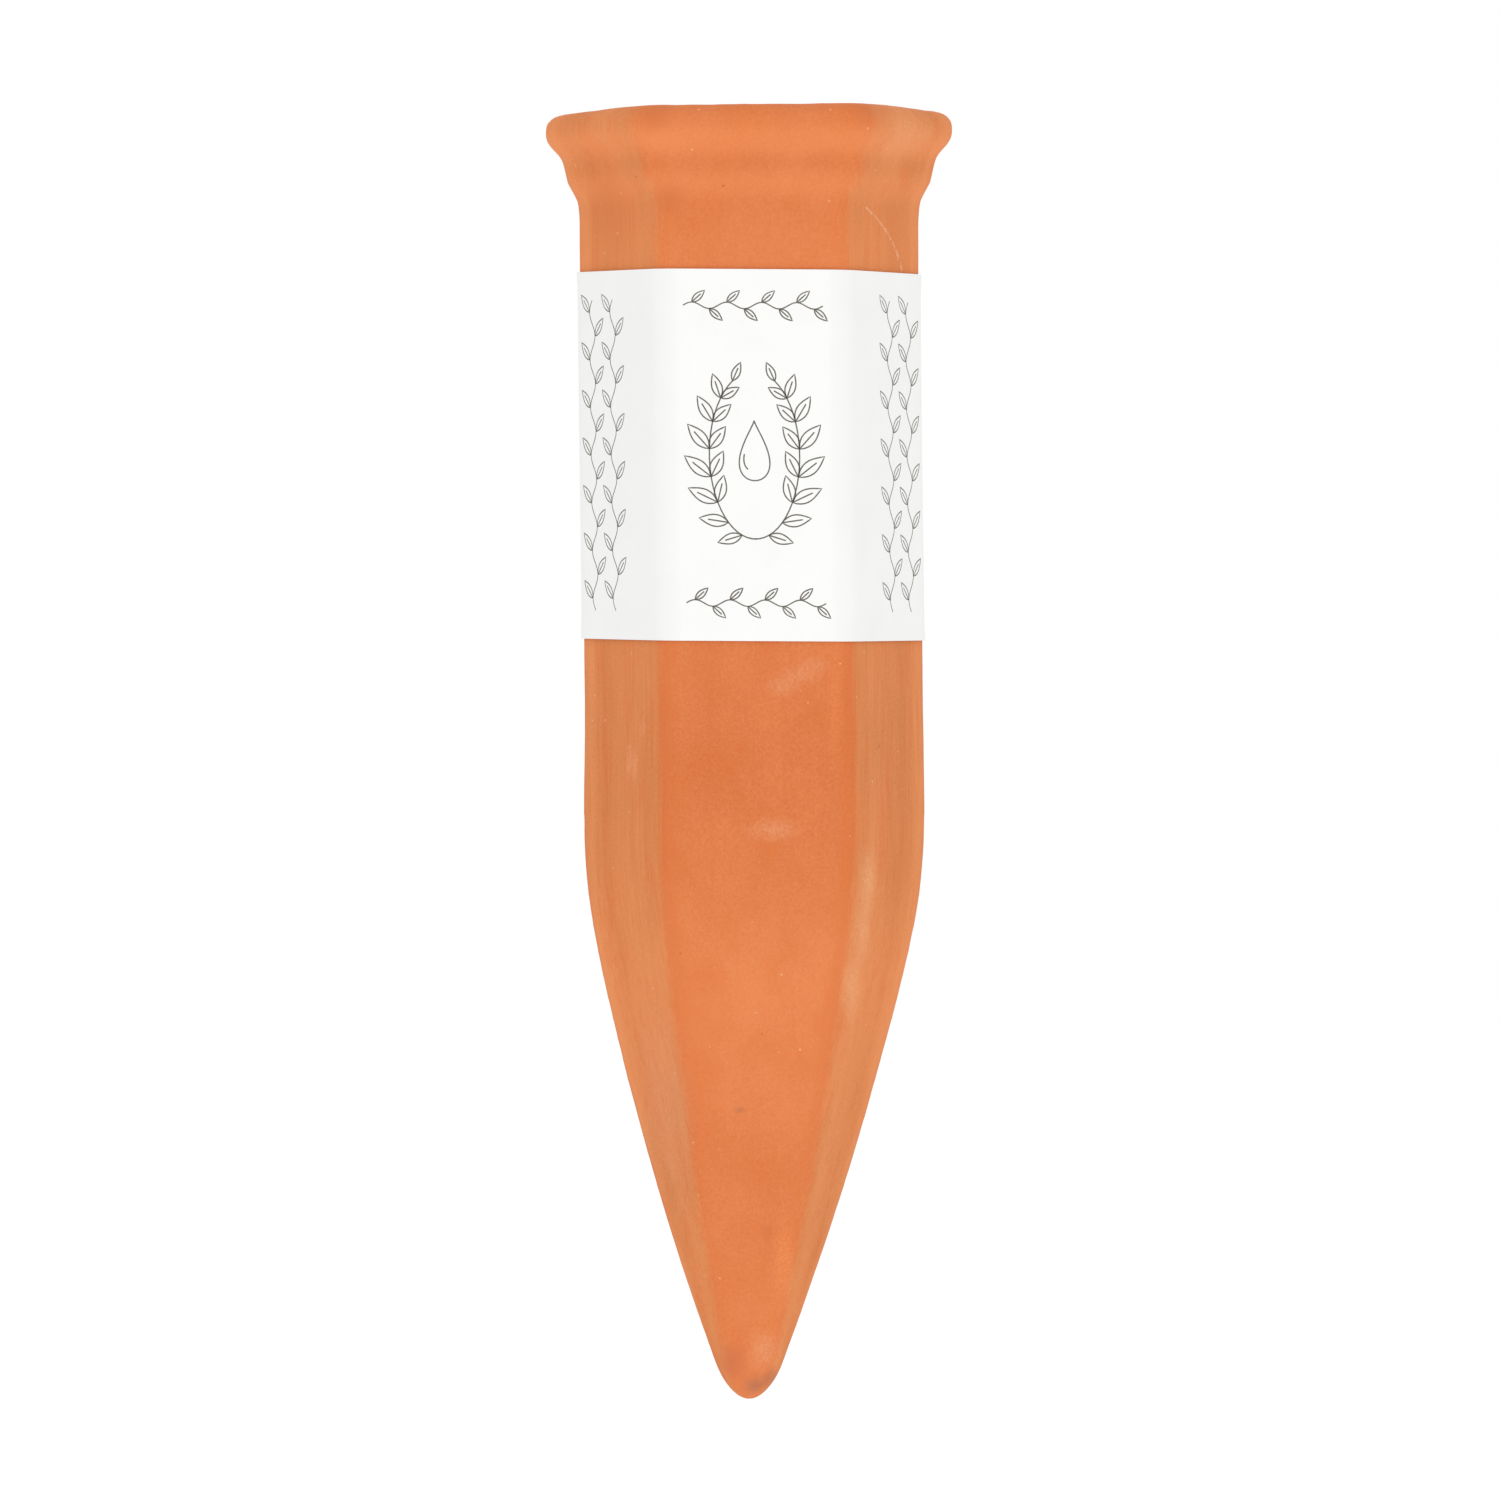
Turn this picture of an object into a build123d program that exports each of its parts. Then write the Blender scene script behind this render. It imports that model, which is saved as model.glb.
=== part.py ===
from build123d import *
from math import radians, sin, tan
import os

# A bottle-fed terracotta watering spike with a paper sleeve round its body.
# Millimetres. The tip is at the origin, +Z runs up through the mouth, and the
# wide front face looks along -Y. Heights are measured up from the tip.

# Throat and clay wall
neck_diameter = 30.0         # widest ring on the neck of a common wine bottle
neck_clearance = 0.5         # play round the neck, on the radius
wall_thickness = 4.5         # clay between the throat and the front face
lip_chamfer = 1.6            # broken inner edge of the mouth
tip_thickness = 12.0         # solid clay below the hollow
chamber_end = 2.4            # radius of the hollow's narrow bottom

# Hexagonal body
front_flat = 20.4            # flat width of the front and back faces
facet_turn = 59.3            # degrees from a front face round to a side face
corner_radius = 4.2          # softened long corners
body_length = 85.2           # straight stretch between taper and collar

# Taper
taper_length = 82.0          # height of the pointed part
shoulder_radius = 90.0       # curve that leads from the body into the taper
shoulder_angle = 12.5        # degrees that the shoulder turns inwards
brow_height = 10.3           # where the flank starts to round in towards the tip
brow_width = 6.7             # half width there
nose_height = 2.6            # where the blunt tip starts
nose_width = 3.4             # half width there
tip_flat = 1.0               # half width of the tip's blunt end
nose_softening = 0.85        # largest corner radius, as a share of the half width
shoulder_spans = 3           # sections along each arc of the outline
flank_spans = 5
brow_spans = 2
nose_spans = 3

# Moulded collar and rim, as offsets from the body wall and heights
foot_height = 2.8            # sloping foot of the collar
foot_overhang = 1.5          # reach of the collar's lower edge
collar_height = 3.6          # slightly flared band
collar_overhang = 2.3        # reach of the collar's upper edge
bead_slope_height = 2.4      # sloping underside of the rim bead
bead_height = 4.0            # outer edge of the rim bead
bead_overhang = 4.55         # reach of the rim bead
bead_lower_radius = 3.1      # rounded lower edge of the bead
bead_upper_radius = 2.45     # rounded upper edge of the bead
rim_root = 2.0               # depth that the moulding is let into the body

# Paper sleeve, one strip wrapped round the body and lapped at the back
sleeve_height = 51.0
sleeve_drop = 10.0           # bare clay between the sleeve and the collar's foot
paper_thickness = 0.15
sleeve_clearance = 0.15      # play that lets the sleeve slide on the body
lap_length = 10.0            # overlap of the two ends
joggle_gap = 0.5             # from the inner end to the step in the outer end
joggle_run = 2.0             # length of the step
joggle_radius = 4.0          # soft bends of the step
tape_width = 6.0             # double-sided strip that joins the ends
tape_thickness = 0.1
tape_margin = 2.0            # bare paper above and below the strip

# Worked-out sizes
throat_radius = neck_diameter / 2 + neck_clearance
half_depth = throat_radius + wall_thickness
core_depth = half_depth - corner_radius
core_front = front_flat / 2
core_width = core_front + core_depth / tan(radians(facet_turn))
half_width = core_width + corner_radius
foot_z = taper_length + body_length
collar_z = foot_z + foot_height
bead_slope_z = collar_z + collar_height
bead_z = bead_slope_z + bead_slope_height
rim_z = bead_z + bead_height
chamber_top = taper_length - shoulder_radius * tan(radians(shoulder_angle / 2))
sleeve_top = foot_z - sleeve_drop
sleeve_bottom = sleeve_top - sleeve_height


def hexagon(width, front, depth):
    """Six corners from half sizes: side corner first, then round by the back face."""
    return [(width, 0), (front, depth), (-front, depth), (-width, 0), (-front, -depth), (front, -depth)]


def draw_body_section(width):
    """Add the spike's section, a hexagon with round corners, of the given half width."""
    radius = min(corner_radius, nose_softening * width)
    core = width - radius
    scale = core / core_width
    Polygon(*hexagon(core, scale * core_front, scale * core_depth), align=None)
    offset(amount=radius)


# Outline of the pointed part, half width against height: each arc leaves the last smoothly
with BuildLine():
    shoulder = JernArc((half_width, taper_length), (0, -1), shoulder_radius, -shoulder_angle)
    flank = TangentArc(shoulder @ 1, (brow_width, brow_height), tangent=shoulder % 1)
    brow = TangentArc(flank @ 1, (nose_width, nose_height), tangent=flank % 1)
    nose = TangentArc(brow @ 1, (0, 0), tangent=brow % 1)

# Points of that outline at which a section is drawn, from the body down to the tip
taper_stations = [shoulder @ (step / shoulder_spans) for step in range(shoulder_spans)]
taper_stations += [flank @ (step / flank_spans) for step in range(flank_spans + 1)]
brow_stations = [brow @ (step / brow_spans) for step in range(brow_spans + 1)]
nose_stations = [nose @ (step / nose_spans) for step in range(nose_spans)]
nose_stations.append(Vector(tip_flat, 0))

with BuildPart() as terracotta_spike:
    # Pointed lower part: sections lofted down the taper, round the brow and round the nose
    for stations in (taper_stations, brow_stations, nose_stations):
        for station in stations:
            with BuildSketch(Plane.XY.offset(station.Y)):
                draw_body_section(station.X)
        loft()

    # Straight hexagonal body, up to the top of the rim
    with BuildSketch(Plane.XY.offset(taper_length)) as body_section:
        draw_body_section(half_width)
    extrude(amount=rim_z - taper_length)

    # Collar and rim: one moulding swept round the body's section
    rim_path = body_section.sketch.face().outer_wire()
    path_start = rim_path @ 0
    path_heading = rim_path % 0
    outward = path_heading.cross(Vector(0, 0, 1))
    wall_foot = Vector(path_start.X, path_start.Y, 0)
    with BuildSketch(Plane(wall_foot, x_dir=outward, z_dir=-path_heading)):
        with BuildLine():
            FilletPolyline(
                (-rim_root, rim_z),
                (bead_overhang, rim_z),
                (bead_overhang, bead_z),
                (collar_overhang, bead_slope_z),
                (foot_overhang, collar_z),
                (0, foot_z),
                (-rim_root, foot_z),
                radius=(0, bead_upper_radius, bead_lower_radius, 0, 0, 0, 0),
                close=True,
            )
        make_face()
    sweep(path=rim_path)

    # Round hollow: bottle throat above, tapered water chamber below
    with BuildSketch(Plane.XZ):
        with BuildLine():
            Polyline(
                (0, rim_z),
                (throat_radius, rim_z),
                (throat_radius, chamber_top),
                (chamber_end, tip_thickness),
                (0, tip_thickness),
                close=True,
            )
        make_face()
    revolve(axis=Axis.Z, mode=Mode.SUBTRACT)

    # Broken inner edge of the mouth
    top_circles = terracotta_spike.edges().filter_by(GeomType.CIRCLE).group_by(Axis.Z)[-1]
    chamfer(top_circles.sort_by(Edge.length)[-1], lip_chamfer)

terracotta_spike.part.label = "terracotta_spike"

# Middle line of the paper, at its two distances from the clay
paper_middle = sleeve_clearance + paper_thickness / 2
lap_step = paper_thickness + tape_thickness
bend_radius = corner_radius + paper_middle
inner_face = half_depth + paper_middle
outer_face = inner_face + lap_step
joggle_end = lap_length / 2 + joggle_gap
wrap = hexagon(
    core_width + bend_radius / sin(radians(facet_turn)),
    core_front + bend_radius * tan(radians(facet_turn / 2)),
    inner_face,
)

with BuildPart() as paper_sleeve:
    with BuildSketch(Plane.XY.offset(sleeve_bottom)):
        with BuildLine():
            FilletPolyline(
                (lap_length / 2, inner_face),
                *wrap[2:],
                *wrap[:2],
                (joggle_end + joggle_run, inner_face),
                (joggle_end, outer_face),
                (-lap_length / 2, outer_face),
                radius=[bend_radius] * 6 + [joggle_radius] * 2,
            )
        trace(line_width=paper_thickness)
    extrude(amount=sleeve_height)

paper_sleeve.part.label = "paper_sleeve"

with BuildPart() as seam_tape:
    tape_face = inner_face + paper_thickness / 2
    with BuildSketch(Plane.XY.offset(sleeve_bottom + tape_margin)):
        with Locations((0, tape_face)):
            Rectangle(tape_width, tape_thickness, align=(Align.CENTER, Align.MIN))
    extrude(amount=sleeve_height - 2 * tape_margin)

seam_tape.part.label = "seam_tape"

os.makedirs("parts", exist_ok=True)
for piece in (terracotta_spike, paper_sleeve, seam_tape):
    export_step(piece.part, f"parts/{piece.part.label}.step")
    print(piece.part.label, "volume", round(piece.part.volume, 1), "mm3")
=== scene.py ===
# %% [markdown]
# A terracotta watering spike with a paper sleeve.
# The real object is a hollow spike of unglazed fired clay. An upturned bottle
# stands in its mouth, and the water soaks out through the clay. A printed strip
# of paper is wrapped round the straight part and lapped at the back.
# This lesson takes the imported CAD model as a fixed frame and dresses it: clay
# with soft worn edges, folded paper, printing ink, light and a camera.

# %% Load the frame
import math

import bpy
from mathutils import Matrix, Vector, noise


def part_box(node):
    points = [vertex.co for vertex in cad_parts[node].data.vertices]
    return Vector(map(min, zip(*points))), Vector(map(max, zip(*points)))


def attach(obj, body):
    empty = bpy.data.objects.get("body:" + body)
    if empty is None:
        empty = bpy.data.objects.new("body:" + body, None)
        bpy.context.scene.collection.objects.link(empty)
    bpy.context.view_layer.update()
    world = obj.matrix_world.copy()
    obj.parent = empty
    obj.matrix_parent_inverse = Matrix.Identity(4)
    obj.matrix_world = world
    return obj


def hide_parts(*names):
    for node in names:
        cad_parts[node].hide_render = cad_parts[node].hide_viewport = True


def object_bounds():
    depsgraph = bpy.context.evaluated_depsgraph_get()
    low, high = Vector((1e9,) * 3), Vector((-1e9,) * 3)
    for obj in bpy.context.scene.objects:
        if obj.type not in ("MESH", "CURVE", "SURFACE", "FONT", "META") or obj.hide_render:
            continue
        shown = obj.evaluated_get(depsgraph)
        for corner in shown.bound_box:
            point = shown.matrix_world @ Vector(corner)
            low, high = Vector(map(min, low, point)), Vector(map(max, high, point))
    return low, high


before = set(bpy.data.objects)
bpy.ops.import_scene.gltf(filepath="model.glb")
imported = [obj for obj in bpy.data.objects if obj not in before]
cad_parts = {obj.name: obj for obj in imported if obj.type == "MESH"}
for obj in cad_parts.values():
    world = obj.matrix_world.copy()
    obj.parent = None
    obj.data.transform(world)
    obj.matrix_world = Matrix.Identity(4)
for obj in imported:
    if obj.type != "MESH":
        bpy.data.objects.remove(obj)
cad_low, cad_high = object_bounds()
MM = 0.001  # the frame is in metres, and sizes below are written in millimetres
print("CAD box, mm:", [round(v / MM, 1) for v in (*cad_low, *cad_high)])

# %% [markdown]
# Two helpers for modelling.
# Blender's operators act on whatever is selected, and the frame comes in
# selected. So each step first selects one piece alone. Modifiers are applied
# as soon as they are set, and the finished mesh is then all there is.

# %% Helpers for modelling


def select_only(piece):
    """Leave this piece alone selected and active, in object mode."""
    if bpy.context.object and bpy.context.object.mode != "OBJECT":
        bpy.ops.object.mode_set(mode="OBJECT")
    bpy.ops.object.select_all(action="DESELECT")
    piece.select_set(True)
    bpy.context.view_layer.objects.active = piece


def apply_modifier(piece, kind, **settings):
    """Add one modifier with these settings and apply it."""
    select_only(piece)
    modifier = piece.modifiers.new(kind.lower(), kind)
    for name, value in settings.items():
        setattr(modifier, name, value)
    bpy.ops.object.modifier_apply(modifier=modifier.name)


print("selected when the frame comes in:", len(bpy.context.selected_objects), "objects")

# %% [markdown]
# The clay.
# The real spike was pressed in a mould, sponged and fired: its faces are a
# little wavy and its edges are rubbed soft. It could be kept as the CAD solid
# with a bump map, but then its outline would stay machine-sharp. So a copy of
# the CAD mesh is merged, rebuilt as an even skin of small quads, laid back on
# the CAD surface, and smoothed a little at the edges. The mouldings of the rim
# are the softest, so the rim is smoothed once more by itself.

# %% Clay: an even skin on the CAD shape
cad_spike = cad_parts["terracotta_spike"]
clay = bpy.data.objects.new("fired_clay_spike", cad_spike.data.copy())
bpy.context.scene.collection.objects.link(clay)

merge_distance = 0.002 * MM
select_only(clay)
bpy.ops.object.mode_set(mode="EDIT")
bpy.ops.mesh.select_all(action="SELECT")
bpy.ops.mesh.remove_doubles(threshold=merge_distance)
bpy.ops.object.mode_set(mode="OBJECT")

skin_step = 0.72 * MM
body_passes, rim_passes = 4, 2
apply_modifier(clay, "REMESH", mode="VOXEL", voxel_size=skin_step)
apply_modifier(clay, "SHRINKWRAP", target=cad_spike, wrap_method="NEAREST_SURFACEPOINT")
apply_modifier(clay, "SMOOTH", factor=0.5, iterations=body_passes)

rim_start = 165.0
rim_points = [vertex.index for vertex in clay.data.vertices if vertex.co.z > rim_start * MM]
clay.vertex_groups.new(name="rim").add(rim_points, 1.0, "REPLACE")
apply_modifier(clay, "SMOOTH", factor=0.5, iterations=rim_passes, vertex_group="rim")
print("clay skin:", len(clay.data.vertices), "points, of them in the rim:", len(rim_points))

# %% [markdown]
# Hand-made unevenness.
# Wet clay sags and is wiped by hand, which leaves long shallow waves, smaller
# lumps, and faint upright furrows from the wiping. Each is a Displace modifier
# with a cloud texture. They only press inwards, so the spike never outgrows
# its CAD size. The furrows use an empty that is drawn out along the height.

# %% Clay: waves, lumps and furrows


def press_in(size, depth, guide=None):
    """Press cloud-shaped hollows of this size and depth into the clay."""
    clouds = bpy.data.textures.new("clay_unevenness", "CLOUDS")
    clouds.noise_scale = size
    clouds.noise_depth = 2
    apply_modifier(
        clay,
        "DISPLACE",
        texture=clouds,
        texture_coords="OBJECT" if guide else "LOCAL",
        texture_coords_object=guide,
        mid_level=1.0,
        strength=depth,
    )


press_in(size=24 * MM, depth=0.16 * MM)
press_in(size=5 * MM, depth=0.06 * MM)
furrow_stretch = 14
bpy.ops.object.empty_add(location=(0, 0, 0))
furrow_guide = bpy.context.object
furrow_guide.scale = (1, 1, furrow_stretch)
bpy.context.view_layer.update()
press_in(size=2.2 * MM, depth=0.03 * MM, guide=furrow_guide)
bpy.data.objects.remove(furrow_guide)
depths = [vertex.co.y for vertex in clay.data.vertices]
print("clay depth after pressing, mm:", round((max(depths) - min(depths)) / MM, 2))

# %% [markdown]
# The bow of the fired spike.
# Clay warps as it dries. Seen from the front, the middle of this spike stands
# a little to the right of a line from its rim to its tip. The rim was cut off
# a little askew, its two far ends droop, and a noise makes its top uneven. The
# straight body was wiped most and is a hair slimmer, which also leaves the paper
# room to slide along the bow. The tip is worn round: near it, the height of each
# point goes with the square of its distance from the axis.
# All of these are small shifts of each point by its place, which is simpler
# than lattices or shape keys.

# %% Clay: bow, askew rim, slim body and worn tip
bow_depth = 0.7
bow_height = 84.0
bow_reach = 82.0
rim_end = 180.0
rim_slope = math.tan(math.radians(0.62))
droop_depth = 0.3
droop_start, droop_end = 17.0, 27.0
nick_depth = 0.14
nick_size = 4.5
slim_across, slim_deep = 0.0085, 0.004
slim_start, slim_end = 76.0, 98.0
slim_top_start, slim_top_end = 168.0, 164.0
worn_fullness = 0.22
worn_start, worn_end = 9.0, 3.0


def ease(value, start, end):
    """Run smoothly from 0 to 1 while a value goes from start to end."""
    share = min(1.0, max(0.0, (value - start) / (end - start)))
    return share * share * (3 - 2 * share)


def bow(height):
    """Sideways bend of the spike at a height, both in metres."""
    share = min(1.0, abs(height / MM - bow_height) / bow_reach)
    return bow_depth * MM * math.cos(share * math.pi / 2) ** 2


for vertex in clay.data.vertices:
    across, deep, height = [part / MM for part in vertex.co]
    rim_share = max(0.0, (height - rim_start) / (rim_end - rim_start))
    droop = droop_depth * ease(abs(across), droop_start, droop_end)
    nick = nick_depth * max(0.0, noise.noise((across / nick_size, deep / nick_size, 0.0)))
    height += rim_share * (rim_slope * across - droop - nick)
    worn_height = worn_fullness * (across**2 + deep**2)
    height += ease(height, worn_start, worn_end) * (worn_height - height)
    slim = ease(height, slim_start, slim_end) * ease(height, slim_top_start, slim_top_end)
    across *= 1 - slim_across * slim
    deep *= 1 - slim_deep * slim
    vertex.co = (across * MM + bow(height * MM), deep * MM, height * MM)
print("largest bow, mm:", round(bow(bow_height * MM) / MM, 2))

# %% [markdown]
# Clay: back to size.
# The hollows pressed into it leave the clay a hair smaller than the CAD box. An
# object's scale could mend that, but the finished piece has to stay unscaled. So
# its points are stretched until its box is the CAD box again. The clay then
# rides on the spike's body, in the place of the CAD solid.

# %% Clay: back to size
clay_low = [min(vertex.co[i] for vertex in clay.data.vertices) for i in range(3)]
clay_high = [max(vertex.co[i] for vertex in clay.data.vertices) for i in range(3)]
for vertex in clay.data.vertices:
    for i in range(3):
        share = (vertex.co[i] - clay_low[i]) / (clay_high[i] - clay_low[i])
        vertex.co[i] = cad_low[i] + share * (cad_high[i] - cad_low[i])

select_only(clay)
bpy.ops.object.shade_smooth()
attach(clay, "spike")
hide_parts("terracotta_spike")
print("clay height, mm:", round((clay_high[2] - clay_low[2]) / MM, 2), "before the stretch")

# %% [markdown]
# The paper sleeve.
# The real sleeve is one strip of paper, 152 by 51 mm, creased softly round the
# six corners and stuck to itself at the back. It could be cut from a tube, but
# it is made here as it is made in life: one upright panel is drawn, its edge is
# pulled from corner to corner round the clay, and the folds are then rounded.
# The corners come first. They follow from the sizes of the clay and the paper.

# %% Paper: corners of the folded strip
half_depth = 20.0
front_flat = 20.4
facet_turn = math.radians(59.3)
corner_radius = 4.2
paper_thickness = 0.15
paper_play = 0.05
lap_length = 10.0
lap_step = 0.25
joggle_start = 7.5
joggle_end = 5.5

paper_middle = paper_play + paper_thickness / 2
fold_radius = corner_radius + paper_middle
fold_depth = half_depth + paper_middle
core_front = front_flat / 2
core_width = core_front + (half_depth - corner_radius) / math.tan(facet_turn)
fold_front = core_front + fold_radius * math.tan(facet_turn / 2)
fold_width = core_width + fold_radius / math.sin(facet_turn)
sleeve_low, sleeve_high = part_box("paper_sleeve")

strip_corners = [
    (lap_length / 2, fold_depth),
    (-fold_front, fold_depth),
    (-fold_width, 0),
    (-fold_front, -fold_depth),
    (fold_front, -fold_depth),
    (fold_width, 0),
    (fold_front, fold_depth),
    (joggle_start, fold_depth),
    (joggle_end, fold_depth + lap_step),
    (-lap_length / 2, fold_depth + lap_step),
]
wrapped_length = sum(math.dist(*ends) for ends in zip(strip_corners, strip_corners[1:]))
print("strip before its folds are rounded, mm:", round(wrapped_length, 1), "long")

# %% [markdown]
# Paper: one panel pulled round.
# A plane becomes the first panel, and its far edge is extruded to each corner in
# turn. So the strip stays one sheet with two free ends, as in life. The edges to
# work on are found by their place, because an operator can change their numbers.

# %% Paper: pull one panel round the six corners
hair = 0.001 * MM  # two places this close are one


def select_edges(piece, test):
    """In edit mode, select the edges whose two ends pass the test."""
    bpy.ops.mesh.select_all(action="DESELECT")
    bpy.ops.mesh.select_mode(type="EDGE")
    bpy.ops.object.mode_set(mode="OBJECT")
    mesh = piece.data
    for edge in mesh.edges:
        ends = [mesh.vertices[i].co for i in edge.vertices]
        edge.select = test(*ends)
    bpy.ops.object.mode_set(mode="EDIT")


def upright(one, other):
    """True for an edge that runs along the height."""
    return abs(one.x - other.x) + abs(one.y - other.y) < hair


def near_corner(point, corner):
    """True for a point above or below this corner of the strip."""
    return math.hypot(point.x - corner[0] * MM, point.y - corner[1] * MM) < 10 * hair


bpy.ops.object.select_all(action="DESELECT")
bpy.ops.mesh.primitive_plane_add(size=1, location=(0, 0, 0))
paper = bpy.context.object
paper.name = "wrapped_paper"
start, first = strip_corners[0], strip_corners[1]
for vertex in paper.data.vertices:
    corner = start if vertex.co.x < 0 else first
    height = sleeve_low.z if vertex.co.y < 0 else sleeve_high.z
    vertex.co = (corner[0] * MM, corner[1] * MM, height)

bpy.ops.object.mode_set(mode="EDIT")
select_edges(paper, lambda a, b: upright(a, b) and near_corner(a, first))
for corner, following in zip(strip_corners[1:], strip_corners[2:]):
    pull = [(following[i] - corner[i]) * MM for i in (0, 1)]
    bpy.ops.mesh.extrude_region_move(TRANSFORM_OT_translate={"value": (*pull, 0)})
bpy.ops.object.mode_set(mode="OBJECT")
print("paper panels:", len(paper.data.polygons))

# %% [markdown]
# Paper: rounded folds.
# Paper bends round a blunt corner by the corner's own radius. A subdivision
# surface would round the cut edges too, so each upright fold is bevelled instead,
# by the setback that its angle and radius give. The step into the lap gets two
# small bends. The flat panels are then divided, so that they can bend a little.

# %% Paper: round the folds and divide the panels


def round_fold(corners, setback, segments):
    """Round the upright folds at these corners of the strip."""
    select_edges(
        paper,
        lambda a, b: upright(a, b) and any(near_corner(a, c) for c in corners),
    )
    bpy.ops.mesh.bevel(offset=setback, offset_type="OFFSET", segments=segments)


face_setback = fold_radius * math.tan(facet_turn / 2) * MM
side_setback = fold_radius / math.tan(facet_turn) * MM
joggle_setback = 0.35 * MM
fold_segments, joggle_segments = 9, 3
bpy.ops.object.mode_set(mode="EDIT")
round_fold([strip_corners[i] for i in (1, 3, 4, 6)], face_setback, fold_segments)
round_fold([strip_corners[i] for i in (2, 5)], side_setback, fold_segments)
round_fold([strip_corners[i] for i in (7, 8)], joggle_setback, joggle_segments)

flat_panel = 8.0 * MM
panel_cuts, height_cuts = 9, 25
select_edges(paper, lambda a, b: not upright(a, b) and (a - b).length > flat_panel)
bpy.ops.mesh.subdivide(number_cuts=panel_cuts)
select_edges(paper, upright)
bpy.ops.mesh.subdivide(number_cuts=height_cuts)
bpy.ops.object.mode_set(mode="OBJECT")
print("paper grid:", len(paper.data.polygons), "faces")

# %% [markdown]
# Life in the paper.
# Hand-wrapped paper is never quite true. This strip sits a third of a degree
# askew, leans with the bowed clay under it, and lifts a hair along its cut
# edges. All three are small shifts of its points, and Solidify then gives the
# paper its thickness.

# %% Paper: skew, lean, lifted edges and thickness
paper_skew = math.tan(math.radians(0.33))
edge_lift = 0.12 * MM
edge_reach = 5.0 * MM
sharp_edge = math.radians(40)


def settle(point):
    """Shift a point of the sleeve to where the hand-wrapped paper really lies."""
    to_edge = min(point.z - sleeve_low.z, sleeve_high.z - point.z)
    lift = edge_lift * max(0.0, 1 - to_edge / edge_reach) ** 2
    outward = Vector((point.x, point.y, 0)).normalized() * lift
    point.x += outward.x + bow(point.z)
    point.y += outward.y
    point.z -= paper_skew * point.x


for vertex in paper.data.vertices:
    settle(vertex.co)

select_only(paper)
bpy.ops.object.mode_set(mode="EDIT")
bpy.ops.mesh.select_all(action="SELECT")
bpy.ops.mesh.normals_make_consistent(inside=False)
bpy.ops.object.mode_set(mode="OBJECT")
apply_modifier(paper, "SOLIDIFY", thickness=paper_thickness * MM, offset=0.0)
bpy.ops.object.shade_smooth_by_angle(angle=sharp_edge)
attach(paper, "sleeve")
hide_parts("paper_sleeve")
print("paper size, mm:", [round(v / MM, 2) for v in paper.dimensions])

# %% [markdown]
# The print: a pen.
# The strip is printed with fine line ornaments in a dark warm grey: a wreath of
# two leafy twigs round a water drop, with a vine above and below it, and climbing
# vines on the slanting panels. Ink could be painted in the paper's material, but
# thin lines stay sharp as geometry. So a pen draws splines in one flat curve with
# a round nib.

# %% Print: a pen


def start_drawing(name, nib):
    """Start an empty flat drawing with a pen of this width."""
    curve = bpy.data.curves.new(name, "CURVE")
    curve.dimensions = "3D"
    curve.bevel_depth = nib / 2
    curve.bevel_resolution = 1
    curve.use_fill_caps = True
    return curve


def draw_line(drawing, points, closed=False):
    """Draw one pen line through points in millimetres."""
    spline = drawing.splines.new("POLY")
    spline.points.add(len(points) - 1)
    spline.use_cyclic_u = closed
    for knot, (across, up) in zip(spline.points, points):
        knot.co = (across, up, 0, 1)


ornament_nib, vine_nib = 0.2, 0.18
print("pens for the print, mm:", ornament_nib, vine_nib)

# %% [markdown]
# The print: leaves and vines.
# A leaf is two swelling edges and a midrib, fullest a little below its middle. A
# vine is a swaying stem with a leaf at each bend, to the left and right by turns.
# They could be copied from one leaf, but a formula lets each have its own size.

# %% Print: leaves and vines
leaf_steps = 9
leaf_fullness = 0.85
midrib = (0.0, 0.35, 0.7)
bend_knots = 6
vine_lean = 42
vine_leaf_width = 0.38  # as a share of the leaf's length


def turned(heading, degrees):
    """Turn a flat heading to the left by some degrees."""
    turn = math.radians(degrees)
    return (
        heading[0] * math.cos(turn) - heading[1] * math.sin(turn),
        heading[0] * math.sin(turn) + heading[1] * math.cos(turn),
    )


def go_from(foot, heading, forward, leftward=0.0):
    """Go from a point some way in a heading, and some way to the left of it."""
    left = turned(heading, 90)
    return [foot[i] + heading[i] * forward + left[i] * leftward for i in (0, 1)]


def draw_leaf(drawing, foot, heading, length, width):
    """Draw a pointed leaf with its midrib, from its foot in a heading."""
    edges = []
    for side in (1, -1):
        edge = []
        for step in range(leaf_steps + 1):
            share = step / leaf_steps
            swell = side * width / 2 * math.sin(math.pi * share**leaf_fullness)
            edge.append(go_from(foot, heading, length * share, swell))
        edges.append(edge)
    draw_line(drawing, edges[0] + edges[1][-2:0:-1], closed=True)
    draw_line(drawing, [go_from(foot, heading, length * share) for share in midrib])


def draw_vine(drawing, foot, heading, length, sway, leaf_length):
    """Draw a swaying stem from its foot in a heading, with a leaf at each bend."""
    bends = round(length / leaf_length)
    knots = bend_knots * bends
    stem = []
    for knot in range(knots + 1):
        share = knot / knots
        swing = sway * math.sin(math.pi * bends * share)
        stem.append(go_from(foot, heading, length * share, swing))
    draw_line(drawing, stem)
    for bend in range(bends):
        node = stem[bend_knots * bend + bend_knots // 2]
        leaf_heading = turned(heading, vine_lean if bend % 2 == 0 else -vine_lean)
        draw_leaf(drawing, node, leaf_heading, leaf_length, vine_leaf_width * leaf_length)


print("a leaf has", 2 * leaf_steps, "points round its edge")

# %% [markdown]
# The print: lay a drawing on the paper.
# A finished drawing becomes a mesh, is pressed flat as a film of ink, and is laid
# on its panel. A shrinkwrap could do that too, but the panels are flat, so each
# point is just moved along the panel, and then settles as the paper itself does.

# %% Print: lay a drawing on a panel of the paper
ink_film = 0.012  # thickness of the ink that stands on the paper
ink_pieces = []


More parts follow.
